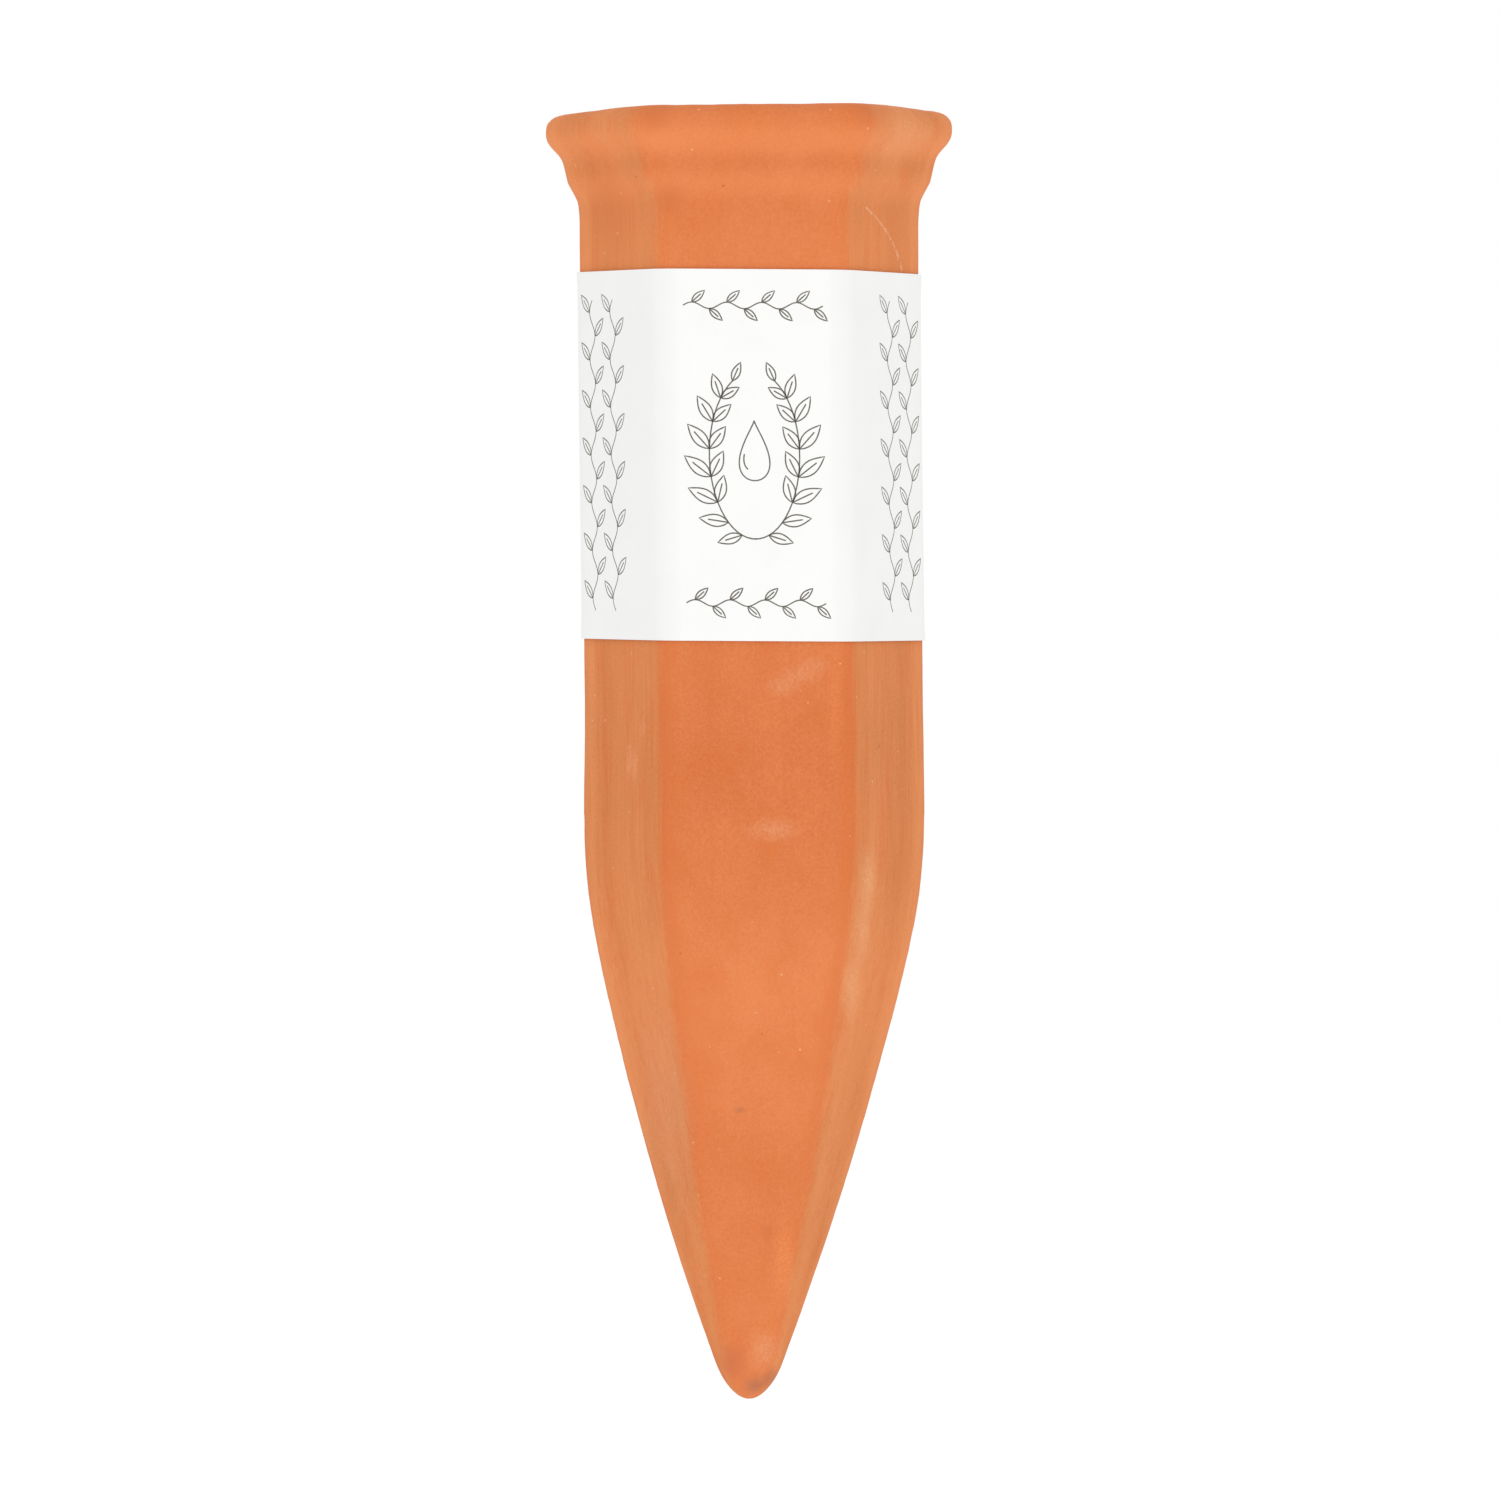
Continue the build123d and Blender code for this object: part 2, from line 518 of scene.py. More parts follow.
def lay_drawing(drawing, corner, along):
    """Turn a drawing into a film of ink on an upright panel, from a corner along a heading."""
    sketch = bpy.data.objects.new(drawing.name, drawing)
    bpy.context.scene.collection.objects.link(sketch)
    select_only(sketch)
    bpy.ops.object.convert(target="MESH")
    ink = bpy.context.object
    outward = (along[1], -along[0])
    deepest = max(vertex.co.z for vertex in ink.data.vertices)
    for vertex in ink.data.vertices:
        across, up, rise = vertex.co
        film = (rise / deepest) * ink_film
        vertex.co = (
            (corner[0] + along[0] * across + outward[0] * film) * MM,
            (corner[1] + along[1] * across + outward[1] * film) * MM,
            sleeve_low.z + up * MM,
        )
        settle(vertex.co)
    bpy.ops.object.shade_smooth_by_angle(angle=sharp_edge)
    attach(ink, "sleeve")
    ink_pieces.append(ink)
    print(ink.name, len(ink.data.polygons), "faces")


print("ink film, mm:", ink_film)

# %% [markdown]
# The print: the front panel.
# Two mirrored twigs make the wreath: each runs up a part of an oval, with leaves
# that are longest halfway. A drop hangs in the middle, and its width goes with a
# sine that is narrowed towards the top. A short vine lies above and below.

# %% Print: the front panel
wreath_middle = 25.5
wreath_width, wreath_height = 6.2, 11.5
wreath_start, wreath_sweep, wreath_steps = -92, 154, 24
leaf_spacing = 3
leaf_short, leaf_swell = 2.8, 1.8
outer_leaf = (-42, 1.0, 0.4)  # lean in degrees, length and width as shares
inner_leaf = (36, 0.85, 0.36)
inner_start = 6
top_leaf = (2.8, 1.1)
drop_rise, drop_width, drop_height = 0.6, 4.6, 8.2
drop_steps, drop_taper, drop_full = 40, 1.4, 0.78
gleam_size, gleam_start, gleam_end = 0.7, 23, 30
border_length, border_sway, border_leaf = 19.2, 0.45, 2.4
border_levels = (5.2, 46.0)


def draw_drop(drawing, centre, width, height):
    """Draw the outline of a water drop and a gleam inside it."""
    outline = []
    for step in range(drop_steps):
        turn = 2 * math.pi * step / drop_steps
        across = width / 2 * math.sin(turn) * math.sin(turn / 2) ** drop_taper / drop_full
        outline.append((centre[0] + across, centre[1] + height / 2 * math.cos(turn)))
    draw_line(drawing, outline, closed=True)
    gleam = []
    for point in outline[gleam_start:gleam_end]:
        gleam.append([c + gleam_size * (p - c) for c, p in zip(centre, point)])
    draw_line(drawing, gleam)


wreath = start_drawing("printed_wreath", ornament_nib)
for mirror in (1, -1):
    twig = []
    for step in range(wreath_steps + 1):
        turn = math.radians(wreath_start + wreath_sweep * step / wreath_steps)
        across = mirror * wreath_width * math.cos(turn)
        twig.append((across, wreath_middle + wreath_height * math.sin(turn)))
    draw_line(wreath, twig)
    for step in range(leaf_spacing, wreath_steps, leaf_spacing):
        run = (Vector(twig[step]) - Vector(twig[step - 1])).normalized()
        length = leaf_short + leaf_swell * math.sin(math.pi * step / wreath_steps)
        leaves = [outer_leaf, inner_leaf] if step > inner_start else [outer_leaf]
        for lean, long_share, wide_share in leaves:
            heading = turned(run, lean * mirror)
            draw_leaf(wreath, twig[step], heading, long_share * length, wide_share * length)
    draw_leaf(wreath, twig[-1], run, *top_leaf)
draw_drop(wreath, (0.0, wreath_middle + drop_rise), drop_width, drop_height)
for level in border_levels:
    border_foot = (-border_length / 2, level)
    draw_vine(wreath, border_foot, (1.0, 0.0), border_length, border_sway, border_leaf)
paper_face = half_depth + paper_play + paper_thickness
lay_drawing(wreath, (0.0, -paper_face), (1.0, 0.0))

# %% [markdown]
# The print: climbing vines.
# Two vines climb each slanting panel. The four panels mirror each other, so one
# corner and one heading are worked out and turned over by their signs. All the
# ink is then named as a part of the sheet, because it goes where the paper goes.

# %% Print: climbing vines on the four slanting panels
vine_places = (10.2, 15.6)
vine_foot, vine_length, vine_sway, vine_leaf = 4.0, 43.0, 0.7, 3.3
panel_heading = (math.cos(facet_turn), math.sin(facet_turn))
panel_out = (panel_heading[1], -panel_heading[0])
panel_lift = corner_radius + paper_play + paper_thickness
panel_corner = (
    core_front + panel_lift * panel_out[0],
    -(half_depth - corner_radius) + panel_lift * panel_out[1],
)
slanting_panels = (
    (1, 1, "printed_vines_right"),
    (-1, 1, "printed_vines_left"),
    (1, -1, "printed_vines_back_right"),
    (-1, -1, "printed_vines_back_left"),
)
for side, face, name in slanting_panels:
    vines = start_drawing(name, vine_nib)
    for place in vine_places:
        foot = (side * face * place, vine_foot)
        draw_vine(vines, foot, (0.0, 1.0), vine_length, vine_sway, vine_leaf)
    lay_drawing(
        vines,
        (side * panel_corner[0], face * panel_corner[1]),
        (face * panel_heading[0], side * panel_heading[1]),
    )

# %% [markdown]
# Colours and nodes.
# Colours are written as sRGB hex, as a colour picker shows them, and one
# function turns them into Blender's linear values. One more small function
# adds a node with its settings and links, so each material reads as a list.
# The inputs of a node, or of a material's main shader, take a value or a link.

# %% Helpers for materials


def linear(colour):
    """Turn an sRGB hex colour such as 'd98b5f' into a linear RGBA value."""
    shares = [int(colour[i : i + 2], 16) / 255 for i in (0, 2, 4)]
    return [s / 12.92 if s <= 0.04045 else ((s + 0.055) / 1.055) ** 2.4 for s in shares] + [1.0]


def set_inputs(tree, node, inputs):
    """Give each of these inputs of a node a value or a link."""
    for name, value in inputs.items():
        if isinstance(value, bpy.types.NodeSocket):
            tree.links.new(value, node.inputs[name])
        else:
            node.inputs[name].default_value = value


def add_node(tree, kind, inputs=None, stops=None, **settings):
    """Add a node, set its properties and ramp stops, and give each input a value or a link."""
    node = tree.nodes.new(kind)
    for name, value in settings.items():
        setattr(node, name, value)
    for i, (place, colour) in enumerate(stops or []):
        elements = node.color_ramp.elements
        element = elements[i] if i < 2 else elements.new(place)
        element.position = place
        element.color = linear(colour) if isinstance(colour, str) else [colour] * 3 + [1.0]
    set_inputs(tree, node, inputs or {})
    return node


def new_material(name):
    """Start a material and return it with its node tree and its main shader."""
    material = bpy.data.materials.new(name)
    material.use_nodes = True
    return material, material.node_tree, material.node_tree.nodes["Principled BSDF"]


def coat(piece, material):
    """Give a piece this one material."""
    piece.data.materials.clear()
    piece.data.materials.append(material)


print("a middle grey, 808080, in linear values:", round(linear("808080")[0], 3))

# %% [markdown]
# Unglazed terracotta: noise of four sizes.
# Red earthenware fired without a glaze is matt, faintly dusty and never one
# colour. Lime makes cloudy patches a centimetre across, the mould leaves upright
# bands a few millimetres wide, wiping the damp clay leaves thin streaks, and
# sand gives a grain. Each is a noise texture, drawn out along the height where
# it should be. Grit of 0.1 mm is too fine to show, so the grain is 0.36 mm.

# %% Terracotta: noise of four sizes
terracotta, clay_tree, clay_shader = new_material("unglazed_terracotta")
coordinates = add_node(clay_tree, "ShaderNodeTexCoord")
clay_place = coordinates.outputs["Object"]
clay_patterns = {}
for name, width, length, detail in (
    ("clouds", 10 * MM, 13 * MM, 4.0),
    ("bands", 2.6 * MM, 80 * MM, 2.0),
    ("streaks", 0.36 * MM, 9 * MM, 3.0),
    ("grain", 0.36 * MM, 0.36 * MM, 2.0),
):
    pattern_place = add_node(
        clay_tree,
        "ShaderNodeMapping",
        {"Vector": clay_place, "Scale": (1 / width, 1 / width, 1 / length)},
    )
    pattern = add_node(
        clay_tree,
        "ShaderNodeTexNoise",
        {"Vector": pattern_place.outputs[0], "Scale": 1.0, "Detail": detail, "Roughness": 0.6},
    )
    clay_patterns[name] = pattern.outputs["Fac"]
print("clay noises:", list(clay_patterns))

# %% [markdown]
# Terracotta: which face a point is on.
# The wide front and back faces are a clear orange, and the rounded long corners are rubbed and
# deeper. The slanting side faces are painted duller and tan: that is painted sheen, the dull look
# that soft light gives a face turned away from the front. Which face a point is on could be a mask
# for each of them, but it can be read from its normal, laid flat: the normal's depth part is 1 on
# the front and back and about a half on the slanting faces. Those were wiped along their length, so
# bands and streaks are strong there and weak on the flat front and back.

# %% Terracotta: which face a point is on
level_normal = add_node(
    clay_tree,
    "ShaderNodeVectorMath",
    {0: coordinates.outputs["Normal"], 1: (1, 1, 0)},
    operation="MULTIPLY",
)
unit_normal = add_node(
    clay_tree, "ShaderNodeVectorMath", {0: level_normal.outputs[0]}, operation="NORMALIZE"
)
normal_parts = add_node(clay_tree, "ShaderNodeSeparateXYZ", {0: unit_normal.outputs[0]})
facing_depth = add_node(
    clay_tree, "ShaderNodeMath", {0: normal_parts.outputs["Y"]}, operation="ABSOLUTE"
)
flatness = add_node(
    clay_tree,
    "ShaderNodeMapRange",
    {
        "Value": facing_depth.outputs[0],
        "From Min": 0.6,
        "From Max": 0.95,
        "To Min": 1.0,
        "To Max": 0.3,
    },
)
for name in ("bands", "streaks"):
    slant_pattern = add_node(
        clay_tree, "ShaderNodeMix", {0: flatness.outputs[0], 2: 0.5, 3: clay_patterns[name]}
    )
    clay_patterns["slant_" + name] = slant_pattern.outputs[0]
print("depth part of a slanting face's normal:", round(math.cos(facet_turn), 2))

# %% [markdown]
# Terracotta: colour by face.
# One colour ramp over that depth part paints all six faces: the clay's orange, its deeper rubbed
# corners, and painted sheen as a duller tan on the slanting faces. The bands, clouds and streaks
# push the value about, so that the borders waver and some orange runs into the tan.

# %% Terracotta: colour by face


def add_patterns(start, shares):
    """Add patterns to a value, each by its share, so that a pattern's middle adds nothing."""
    total = add_node(
        clay_tree, "ShaderNodeMath", {0: start, 1: sum(shares.values()) / 2}, operation="SUBTRACT"
    )
    for name, share in shares.items():
        total = add_node(
            clay_tree,
            "ShaderNodeMath",
            {0: clay_patterns[name], 1: share, 2: total.outputs[0]},
            operation="MULTIPLY_ADD",
        )
    return total.outputs[0]


pushes = {"slant_bands": -0.45, "clouds": 0.35, "slant_streaks": -0.4}
facing = add_patterns(facing_depth.outputs[0], pushes)
# The ramp paints the clay's own colour, and painted sheen on the slanting faces.
face_colour_and_sheen = add_node(
    clay_tree,
    "ShaderNodeValToRGB",
    {0: facing},
    stops=[
        (0.0, "d9763a"),
        (1.0, "da7740"),
        (0.30, "d9783c"),
        # 0.40 to 0.50, the slanting faces: a duller tan of painted sheen
        (0.40, "d98247"),
        (0.50, "d98247"),
        (0.76, "dc763b"),
        (0.93, "dc763b"),
    ],
)
print("face colour stops:", len(face_colour_and_sheen.color_ramp.elements))

# %% [markdown]
# Terracotta: painted light and shade by height. A ramp over the height paints light and shade:
# paler bands across the middle of the point and on the rim's bead and collar, where they face the
# light from below, and a darker band on the bead's top. The recess under the bead is darker and
# redder, painted shade together with a deeper clay colour. They could be painted on the mesh, but a
# ramp over the height gives them with a few stops.

# %% Terracotta: painted light and shade by height
place_parts = add_node(clay_tree, "ShaderNodeSeparateXYZ", {0: clay_place})
height_share = add_node(
    clay_tree,
    "ShaderNodeMath",
    {0: place_parts.outputs["Z"], 1: cad_high.z},
    operation="DIVIDE",
)
# Painted light and shade by height: pale bands where the surface faces the light from below, darker
# on the bead's top and in the recess under it.
zone = add_node(
    clay_tree,
    "ShaderNodeValToRGB",
    {0: height_share.outputs[0]},
    stops=[
        (0.0, 0.14),
        (1.0, 0.14),
        (0.07, 0.20),
        (0.15, 0.10),
        (0.32, 0.30),
        (0.43, 0.08),
        (0.49, 0.02),
        (0.60, 0.12),
        (0.89, 0.25),
        (0.922, 0.18),
        (0.938, 0.36),
        (0.954, 0.14),
        (0.970, 0.46),
        (0.987, 0.24),
    ],
)
zone.color_ramp.interpolation = "EASE"
# ff9c60 is the pale colour both of lime and of painted light; dc743a is the deeper clay of the
# rubbed corners.
pale_lime_and_light, bare_clay = "ff9c60", "dc743a"
body_colour = add_node(
    clay_tree,
    "ShaderNodeMix",
    {0: zone.outputs[0], 6: face_colour_and_sheen.outputs[0], 7: linear(pale_lime_and_light)},
    data_type="RGBA",
)
print("pale zone stops:", len(zone.color_ramp.elements))

# %% [markdown]
# Terracotta: darker middles of the slanting faces. Each slanting face is darker along its middle
# and paler near its two long edges. The spike gets narrower towards its tip, so a place in
# millimetres wouldn't do. How far a point lies round from the side corner is the same at any width,
# and its depth over its width gives that.

# %% Terracotta: darker middles of the slanting faces
sides = add_node(clay_tree, "ShaderNodeVectorMath", {0: clay_place}, operation="ABSOLUTE")
side_parts = add_node(clay_tree, "ShaderNodeSeparateXYZ", {0: sides.outputs[0]})
round_from_side = add_node(
    clay_tree,
    "ShaderNodeMath",
    {0: side_parts.outputs["Y"], 1: side_parts.outputs["X"]},
    operation="DIVIDE",
)
# darker along the middle of each slanting face, paler near its two long edges
hollow = add_node(
    clay_tree,
    "ShaderNodeValToRGB",
    {0: round_from_side.outputs[0]},
    stops=[
        (0.0, 0.70),
        (1.0, 0.50),
        (0.14, 0.66),
        (0.20, 0.50),
        (0.28, 0.40),
        (0.36, 0.38),
        (0.48, 0.46),
        (0.62, 0.54),
        (0.82, 0.56),
    ],
)
clay_patterns["hollow"] = hollow.outputs[0]
print("clay patterns:", list(clay_patterns))

# %% [markdown]
# Terracotta: mottling.
# All the patterns, each by its own share, mottle the clay from chalky to deep, and
# not just from light to dark. Their sum runs from below 0 to above 0, so the mix
# isn't clamped: it goes past the body's colour, away from the chalky one.

# %% Terracotta: mottling
mottling = {
    "clouds": 0.50,
    "slant_bands": 0.36,
    "slant_streaks": 0.42,
    "grain": 0.58,
    "hollow": 1.0,
}
chalky_clay = "fca46a"
body_colour = add_node(
    clay_tree,
    "ShaderNodeMix",
    {0: add_patterns(0.0, mottling), 6: body_colour.outputs[2], 7: linear(chalky_clay)},
    data_type="RGBA",
    clamp_factor=False,
)
print("mottling from", len(mottling), "patterns")

# %% [markdown]
# Terracotta: rubbed corners.
# On the long corners of the body the skin of lime is rubbed off by handling, and
# the deeper clay shows. The same depth part that tells the faces apart finds the
# corners, and a ramp over the height keeps the rub to the part that is handled.

# %% Terracotta: rubbed corners
corner = add_node(
    clay_tree,
    "ShaderNodeValToRGB",
    {0: facing},
    stops=[(0.52, 0.0), (1.0, 0.0), (0.76, 0.38), (0.93, 0.38)],
)
handled = add_node(
    clay_tree,
    "ShaderNodeValToRGB",
    {0: height_share.outputs[0]},
    stops=[(0.08, 0.0), (0.86, 0.0), (0.30, 1.0), (0.78, 1.0)],
)
rubbed = add_node(
    clay_tree, "ShaderNodeMath", {0: corner.outputs[0], 1: handled.outputs[0]}, operation="MULTIPLY"
)
body_colour = add_node(
    clay_tree,
    "ShaderNodeMix",
    {0: rubbed.outputs[0], 6: body_colour.outputs[2], 7: linear(bare_clay)},
    data_type="RGBA",
)
print("terracotta nodes so far:", len(clay_tree.nodes))

# %% [markdown]
# Terracotta: where the stains are. Small stains sit where hands and the kiln shelf touched the
# clay: redder corners at the rim, chalky rubs on the faces, a smudge of smoke on the tip. They are
# accidents of this one spike, so they are a list of places and not a pattern. One long pale line
# just inside the right front corner is no stain: it is a painted highlight.

# %% Terracotta: where the stains are
chalk, lime_wash, red_flash = "eea072", "f4b27d", "cc6e39"
smoke, flush, dull_lime = "a2664c", "c66a46", "d2a68a"
stains = [
    # centre in mm, radii in mm, colour, strength
    ((4.0, -20, 99.9), (3.2, 8, 1.8), chalk, 0.40),
    ((6.2, -20, 101.3), (3.6, 8, 2.0), chalk, 0.50),
    ((8.4, -20, 102.8), (3.2, 8, 1.8), chalk, 0.40),
    # a painted highlight: a long pale line just inside the right front corner
    ((11.3, -20, 98), (1.7, 8, 15), pale_lime_and_light, 0.22),
    ((-16.9, -12, 89.6), (0.6, 8, 3.6), chalk, 0.60),
    ((-16.1, -12, 88.8), (0.6, 8, 3.0), chalk, 0.55),
    ((-15.0, -13, 94.2), (0.9, 8, 1.6), chalk, 0.40),
    ((18.5, -10, 95), (7.0, 12, 24), dull_lime, 0.04),
    ((-12.5, -10, 38), (7.0, 12, 24), dull_lime, 0.24),
    ((12.5, -10, 30), (7.0, 12, 16), lime_wash, 0.14),
    ((2.9, -20, 80.3), (5.0, 8, 2.3), chalk, 0.60),
    ((16.2, -15, 73), (2.3, 8, 6.5), lime_wash, 0.62),
    ((15.4, -15, 66), (2.3, 8, 7.0), lime_wash, 0.55),
    ((13.9, -14, 58), (2.2, 8, 7.5), lime_wash, 0.55),
    ((23.0, -14, 176), (8.0, 12, 6.5), lime_wash, 0.40),
    ((-20.0, -12, 166), (7.5, 12, 12), bare_clay, 0.60),
    ((-13.2, -22, 178), (3.5, 9, 3.2), red_flash, 0.55),
    ((15.5, -22, 178.5), (3.8, 9, 3.2), red_flash, 0.45),
    ((-11.3, -20, 167), (3.6, 9, 3.4), red_flash, 0.55),
    ((4.6, -8, 20.5), (2.4, 8, 9), pale_lime_and_light, 0.40),
    ((-2.4, -4, 5.6), (3.2, 6, 4.2), flush, 0.60),
    ((2.0, -4, 7.4), (3.0, 6, 4.2), chalk, 0.60),
    ((0.9, -3, 2.2), (2.6, 6, 2.2), smoke, 0.75),
    ((2.9, -2, 3.2), (1.6, 6, 2.4), smoke, 0.60),
    ((-1.6, -12, 41.3), (1.2, 6, 0.9), smoke, 0.75),
    ((2.2, -8, 24.0), (1.4, 6, 1.8), red_flash, 0.60),
    ((-6.0, 20, 64), (6.0, 8, 4.0), chalk, 0.55),
    ((7.5, 21, 168), (4.0, 9, 3.0), red_flash, 0.40),
    ((-19.0, 6, 92), (5.0, 6, 5.0), lime_wash, 0.45),
]
print("terracotta stains:", len(stains))

# %% [markdown]
# Terracotta: ragged edges for the stains.
# A stain on rough clay has no clean edge. The place that it is measured from is
# pushed about by a noise, and the grain breaks it up, so that no stain is a smooth
# oval. Both are made once and serve all the stains.

# %% Terracotta: ragged edges for the stains
smear_size = 1.5 * MM
smear_reach = 1.8 * MM
smear = add_node(
    clay_tree,
    "ShaderNodeTexNoise",
    {"Vector": clay_place, "Scale": 1 / smear_size, "Detail": 5.0, "Roughness": 0.75},
)
smear_push = add_node(
    clay_tree,
    "ShaderNodeVectorMath",
    {0: smear.outputs["Color"], 1: (0.5, 0.5, 0.5)},
    operation="SUBTRACT",
)
ragged_place = add_node(
    clay_tree,
    "ShaderNodeVectorMath",
    {0: smear_push.outputs[0], 1: (smear_reach, smear_reach, smear_reach), 2: clay_place},
    operation="MULTIPLY_ADD",
)
stain_gaps = add_node(
    clay_tree,
    "ShaderNodeMapRange",
    {"Value": clay_patterns["grain"], "From Min": 0.25, "From Max": 0.65, "To Min": 0.3},
)
print("stain edges wander by up to", round(smear_reach / 2 / MM, 2), "mm")

# %% [markdown]
# Terracotta: lay the stains.
# Each stain is a soft mask round one point. The distance from its centre is
# measured in its own radii, so that it can be long or round, and fades to nothing
# at 1.

# %% Terracotta: lay the stains
for centre, radii, colour, strength in stains:
    offset = add_node(
        clay_tree,
        "ShaderNodeVectorMath",
        {0: ragged_place.outputs[0], 1: [c * MM for c in centre]},
        operation="SUBTRACT",
    )
    share = add_node(
        clay_tree,
        "ShaderNodeVectorMath",
        {0: offset.outputs[0], 1: [r * MM for r in radii]},
        operation="DIVIDE",
    )
    reach = add_node(clay_tree, "ShaderNodeVectorMath", {0: share.outputs[0]}, operation="LENGTH")
    mask = add_node(
        clay_tree,
        "ShaderNodeMapRange",
        {"Value": reach.outputs["Value"], "From Min": 1.0, "From Max": 0.0, "To Max": strength},
        interpolation_type="SMOOTHSTEP",
    )
    broken = add_node(
        clay_tree,
        "ShaderNodeMath",
        {0: mask.outputs[0], 1: stain_gaps.outputs[0]},
        operation="MULTIPLY",
    )
    body_colour = add_node(
        clay_tree,
        "ShaderNodeMix",
        {0: broken.outputs[0], 6: body_colour.outputs[2], 7: linear(colour)},
        data_type="RGBA",
    )
print("terracotta nodes with its stains:", len(clay_tree.nodes))

# %% [markdown]
# Terracotta: specks and pinholes.
# Lime gives pale specks, and burnt-out bits of plant leave pinholes, whose darker colour is painted
# shade inside them. Both could be scattered as tiny pieces, but they have no height. So they are
# the cores of Voronoi cells, a few millimetres apart, and only those that the surface happens to
# cut are seen.

# %% Terracotta: specks and pinholes
speck_strength = 0.85
speck_core = 0.4  # share of the radius that has the full colour
speck_masks = {}
for kind, spacing, radius, colour in (
    ("lime", 3.8 * MM, 0.19 * MM, "f2b98e"),
    # the pinholes' darker colour is painted shade inside them
    ("hole", 5.4 * MM, 0.22 * MM, "b4602f"),
):
    cells = add_node(
        clay_tree, "ShaderNodeTexVoronoi", {"Vector": clay_place, "Scale": 1 / spacing}
    )
    speck_masks[kind] = add_node(
        clay_tree,
        "ShaderNodeMapRange",
        {
            "Value": cells.outputs["Distance"],
            "From Min": radius / spacing,
            "From Max": speck_core * radius / spacing,
            "To Max": speck_strength,
        },
    )
    body_colour = add_node(
        clay_tree,
        "ShaderNodeMix",
        {0: speck_masks[kind].outputs[0], 6: body_colour.outputs[2], 7: linear(colour)},
        data_type="RGBA",
    )
print("specks:", list(speck_masks))

# %% [markdown]
# Terracotta: the scratch.
# Something hard has drawn one thin chalky arc across the right side under the rim.
# It could be a thin mesh, but it has no height. So it is all that lies near one
# circle, seen from the front, between two heights on that side. The grain makes
# its line wander, and the streaks break it up.

# %% Terracotta: the scratch
scratch_colour = "f3c09a"
scratch_middle = (7.1, 0, 154.5)
scratch_radius = 14.3 * MM
scratch_width = 0.24 * MM
scratch_wander = 0.7 * MM
scratch_limits = (
    ("Z", 157.4 * MM, "GREATER_THAN"),
    ("Z", 166.0 * MM, "LESS_THAN"),
    ("X", 10 * MM, "GREATER_THAN"),
    ("Y", 0.0, "LESS_THAN"),
)
front_place = add_node(
    clay_tree, "ShaderNodeVectorMath", {0: clay_place, 1: (1, 0, 1)}, operation="MULTIPLY"
)
to_middle = add_node(
    clay_tree,
    "ShaderNodeVectorMath",
    {0: front_place.outputs[0], 1: [c * MM for c in scratch_middle]},
    operation="DISTANCE",
)
to_middle = add_node(
    clay_tree,
    "ShaderNodeMath",
    {0: clay_patterns["grain"], 1: scratch_wander, 2: to_middle.outputs["Value"]},
    operation="MULTIPLY_ADD",
)
on_line = add_node(
    clay_tree,
    "ShaderNodeMath",
    {0: to_middle.outputs[0], 1: scratch_radius + scratch_wander / 2, 2: scratch_width / 2},
    operation="COMPARE",
)
limits = [on_line]
for axis, bound, side in scratch_limits:
    limit = add_node(
        clay_tree, "ShaderNodeMath", {0: place_parts.outputs[axis], 1: bound}, operation=side
    )
    limits.append(limit)
scratch = add_node(
    clay_tree,
    "ShaderNodeMapRange",
    {"Value": clay_patterns["streaks"], "From Min": 0.38, "From Max": 0.54, "To Max": 0.65},
)
for limit in limits:
    scratch = add_node(
        clay_tree,
        "ShaderNodeMath",
        {0: scratch.outputs[0], 1: limit.outputs[0]},
        operation="MULTIPLY",
    )
body_colour = add_node(
    clay_tree,
    "ShaderNodeMix",
    {0: scratch.outputs[0], 6: body_colour.outputs[2], 7: linear(scratch_colour)},
    data_type="RGBA",
)
print("scratch width, mm:", round(scratch_width / MM, 2))

# %% [markdown]
# Terracotta: relief and gloss.
# The same streaks, grain and pinholes are also felt by a fingertip, so they
# drive a bump. Dry earthenware hardly shines: its roughness stays near 0.9 and
# drifts a little where the clay is denser.

# %% Terracotta: relief and gloss
streak_relief, hole_relief = 0.5, -2.0  # as shares of the grain's own height
relief = add_node(
    clay_tree,
    "ShaderNodeMath",
    {0: clay_patterns["streaks"], 1: streak_relief, 2: clay_patterns["grain"]},
    operation="MULTIPLY_ADD",
)
relief = add_node(
    clay_tree,
    "ShaderNodeMath",
    {0: speck_masks["hole"].outputs[0], 1: hole_relief, 2: relief.outputs[0]},
    operation="MULTIPLY_ADD",
)
clay_bump = add_node(
    clay_tree,
    "ShaderNodeBump",
    {"Height": relief.outputs[0], "Strength": 0.35, "Distance": 0.08 * MM},
)
clay_gloss = add_node(
    clay_tree,
    "ShaderNodeMapRange",
    {"Value": clay_patterns["clouds"], "To Min": 0.82, "To Max": 0.98},
)
clay_finish = {
    "Base Color": body_colour.outputs[2],
    "Normal": clay_bump.outputs[0],
    "Roughness": clay_gloss.outputs[0],
    "IOR": 1.5,
}
set_inputs(clay_tree, clay_shader, clay_finish)
coat(clay, terracotta)
print("terracotta nodes:", len(clay_tree.nodes))

# %% [markdown]
# Uncoated paper.
# The strip is plain white printing paper, rolled smooth but not coated. Its
# fibres give a faint cloudiness and a soft tooth, and the rolling gives a dull
# sheen that shows along the folds. The fibres are a few hundredths of a
# millimetre wide, too fine to show, so they are drawn as flecks of 0.5 mm.

# %% Paper finish


def mottled_colour(tree, size, detail, stops):
    """Let a soft noise of this size vary a finish, and give the colour and the noise."""
    place = add_node(tree, "ShaderNodeTexCoord").outputs["Object"]
    mottle = add_node(
        tree, "ShaderNodeTexNoise", {"Vector": place, "Scale": 1 / size, "Detail": detail}
    )
    colour = add_node(tree, "ShaderNodeValToRGB", {0: mottle.outputs["Fac"]}, stops=stops)
    return colour.outputs[0], mottle.outputs["Fac"]


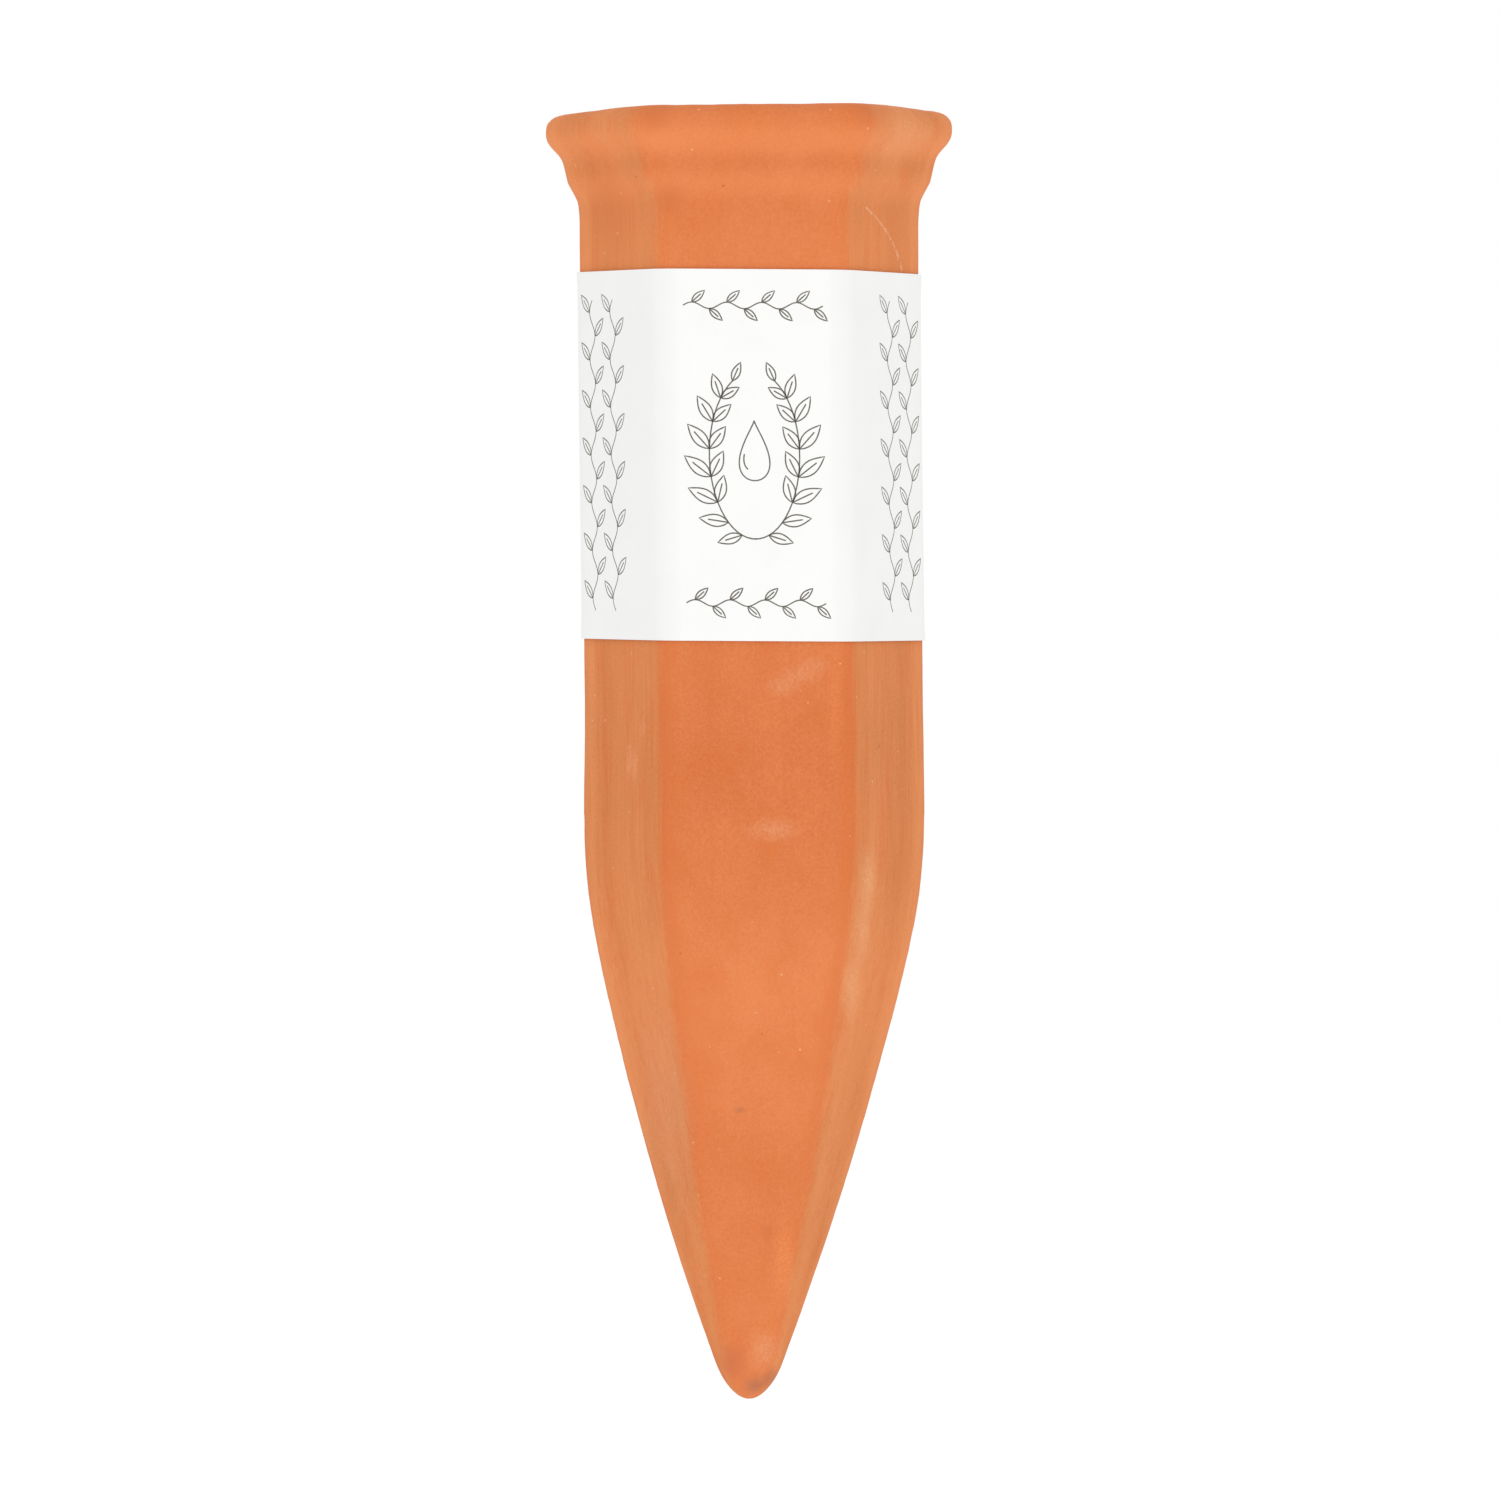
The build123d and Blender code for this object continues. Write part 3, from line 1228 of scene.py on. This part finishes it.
fibre_size, cloud_size = 0.5 * MM, 6 * MM
paper_stock, paper_tree, paper_shader = new_material("uncoated_white_paper")
paper_whites = [(0.25, "f5f5f4"), (0.75, "f8f8f7")]
paper_colour, _ = mottled_colour(paper_tree, cloud_size, 3.0, paper_whites)
paper_place = add_node(paper_tree, "ShaderNodeTexCoord").outputs["Object"]
fibres = add_node(
    paper_tree,
    "ShaderNodeTexNoise",
    {"Vector": paper_place, "Scale": 1 / fibre_size, "Detail": 3.0},
)
paper_bump = add_node(
    paper_tree,
    "ShaderNodeBump",
    {"Height": fibres.outputs["Fac"], "Strength": 0.15, "Distance": 0.03 * MM},
)
paper_gloss = add_node(
    paper_tree,
    "ShaderNodeMapRange",
    {"Value": fibres.outputs["Fac"], "To Min": 0.34, "To Max": 0.46},
)
paper_finish = {
    "Base Color": paper_colour,
    "Normal": paper_bump.outputs[0],
    "Roughness": paper_gloss.outputs[0],
}
set_inputs(paper_tree, paper_shader, paper_finish)
coat(paper, paper_stock)
print("paper nodes:", len(paper_tree.nodes))

# %% [markdown]
# Printing ink.
# The ink is a dark warm grey that sinks into the paper, so it is matt and a
# little uneven. One plain colour would look like plastic thread, so a fine noise
# drives both its colour and its gloss.

# %% Ink finish
ink_stock, ink_tree, ink_shader = new_material("offset_printing_ink")
ink_blot = 0.4 * MM
ink_greys = [(0.3, "5a564c"), (0.7, "7b776c")]
ink_colour, ink_mottle = mottled_colour(ink_tree, ink_blot, 3.0, ink_greys)
ink_gloss = add_node(
    ink_tree, "ShaderNodeMapRange", {"Value": ink_mottle, "To Min": 0.6, "To Max": 0.8}
)
set_inputs(ink_tree, ink_shader, {"Base Color": ink_colour, "Roughness": ink_gloss.outputs[0]})
for ink in ink_pieces:
    coat(ink, ink_stock)
print("inked pieces:", len(ink_pieces))

# %% [markdown]
# Adhesive film.
# The strip that joins the lapped ends is a thin film of acrylic adhesive. It is
# yellowish and half clear, and only its edge can be seen in the lap, so it keeps
# its CAD mesh and gets a plain hazy finish.

# %% Adhesive finish
film_stock, film_tree, film_shader = new_material("acrylic_adhesive_film")
haze_size = 1.2 * MM
film_yellows = [(0.3, "e6dcc0"), (0.7, "f0e9d6")]
film_colour, _ = mottled_colour(film_tree, haze_size, 2.0, film_yellows)
set_inputs(film_tree, film_shader, {"Base Color": film_colour, "Roughness": 0.35})
coat(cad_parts["seam_tape"], film_stock)
print("finishes:", terracotta.name, paper_stock.name, ink_stock.name, film_stock.name)

# %% [markdown]
# The studio: an all-round white world.
# The photo was taken in even light on a white ground, with hardly a shadow. A
# world of soft white light gives that from all sides. To the camera, and in
# mirrors and glass, the same world is plain white at strength 1, so the ground
# can be white without throwing more light on the clay.

# %% World
white = linear("ffffff")
world_strength = 0.88


def seen_directly(tree):
    """Give 1 for what the camera, a mirror or glass sees, and 0 for light on its way."""
    path = add_node(tree, "ShaderNodeLightPath")
    seen = path.outputs["Is Camera Ray"]
    for ray in ("Is Glossy Ray", "Is Transmission Ray"):
        either = add_node(
            tree, "ShaderNodeMath", {0: seen, 1: path.outputs[ray]}, operation="MAXIMUM"
        )
        seen = either.outputs[0]
    return seen


world = bpy.data.worlds.new("white_studio")
bpy.context.scene.world = world
world.use_nodes = True
world_tree = world.node_tree
world_tree.nodes.clear()
soft_light = add_node(
    world_tree, "ShaderNodeBackground", {"Color": white, "Strength": world_strength}
)
backdrop = add_node(world_tree, "ShaderNodeBackground", {"Color": white, "Strength": 1.0})
mixed = add_node(
    world_tree,
    "ShaderNodeMixShader",
    {0: seen_directly(world_tree), 1: soft_light.outputs[0], 2: backdrop.outputs[0]},
)
add_node(world_tree, "ShaderNodeOutputWorld", {"Surface": mixed.outputs[0]})
print("world strength:", world_strength)

# %% [markdown]
# The lamps.
# In the photo the undersides of the mouldings are as bright as their fronts, so
# some light came from below. One soft lamp stands in front, a little to the
# right, and a larger one shines up from the foot. Both are weak: with the world
# they light a colour about as it is written.

# %% Lamps
spike_middle = Vector((0, 0, 0.09))
lamps = (
    # name, place and size in metres, watts
    ("front_softbox", (0.05, -1.7, 0.2), 0.5, 2.4),
    ("foot_softbox", (0.1, -1.1, -0.95), 0.8, 2.2),
)
for name, place, size, watts in lamps:
    light = bpy.data.lights.new(name, "AREA")
    light.size = size
    light.energy = watts
    lamp = bpy.data.objects.new(name, light)
    bpy.context.scene.collection.objects.link(lamp)
    lamp.location = place
    lamp.rotation_euler = (spike_middle - lamp.location).to_track_quat("-Z", "Y").to_euler()
    print(name, watts, "W")

# %% [markdown]
# The floor.
# A matt white card lies far enough below the tip for the sleeve to slide off
# above it. It glows a little to the camera, so that it is as white as the world,
# and it still takes the shadow of the spike. It doesn't hold back the foot lamp
# and throws no light back, so the spike looks the same from every side.

# %% Floor
floor_size = 4
floor_height = -0.062
floor_glow = 0.3
bpy.ops.object.select_all(action="DESELECT")
bpy.ops.mesh.primitive_plane_add(size=floor_size, location=(0, 0, floor_height))
floor = bpy.context.object
floor.name = "studio_floor"
card, card_tree, card_shader = new_material("matt_white_card")
glow = add_node(
    card_tree, "ShaderNodeMath", {0: seen_directly(card_tree), 1: floor_glow}, operation="MULTIPLY"
)
card_finish = {
    "Base Color": linear("e9e9e9"),
    "Roughness": 1.0,
    "Emission Color": white,
    "Emission Strength": glow.outputs[0],
}
set_inputs(card_tree, card_shader, card_finish)
coat(floor, card)
floor.visible_shadow = False
floor.visible_diffuse = False
print("floor below the tip, mm:", round(-floor_height / MM))

# %% [markdown]
# The camera.
# It stands 1.2 m away, a little above the middle of the spike and 1.4 degrees to
# the left of its front, as the rim and the two edges of the paper show. The lens
# is worked out from the width that the picture should cover.

# %% Camera
camera_turn = math.radians(1.4)
camera_distance = 1.2
camera_height = 0.12
frame_width = 0.2094
sensor = 36.0
aim = Vector((0.00014, 0, 0.09075))
camera_data = bpy.data.cameras.new("camera")
camera_data.sensor_width = sensor
camera_data.lens = sensor * camera_distance / frame_width
camera = bpy.data.objects.new("camera", camera_data)
bpy.context.scene.collection.objects.link(camera)
camera.location = (
    -camera_distance * math.sin(camera_turn),
    -camera_distance * math.cos(camera_turn),
    camera_height,
)
camera.rotation_euler = (aim - camera.location).to_track_quat("-Z", "Y").to_euler()
bpy.context.scene.camera = camera
bpy.context.scene.view_settings.view_transform = "Standard"
print("lens, mm:", round(camera_data.lens, 1))
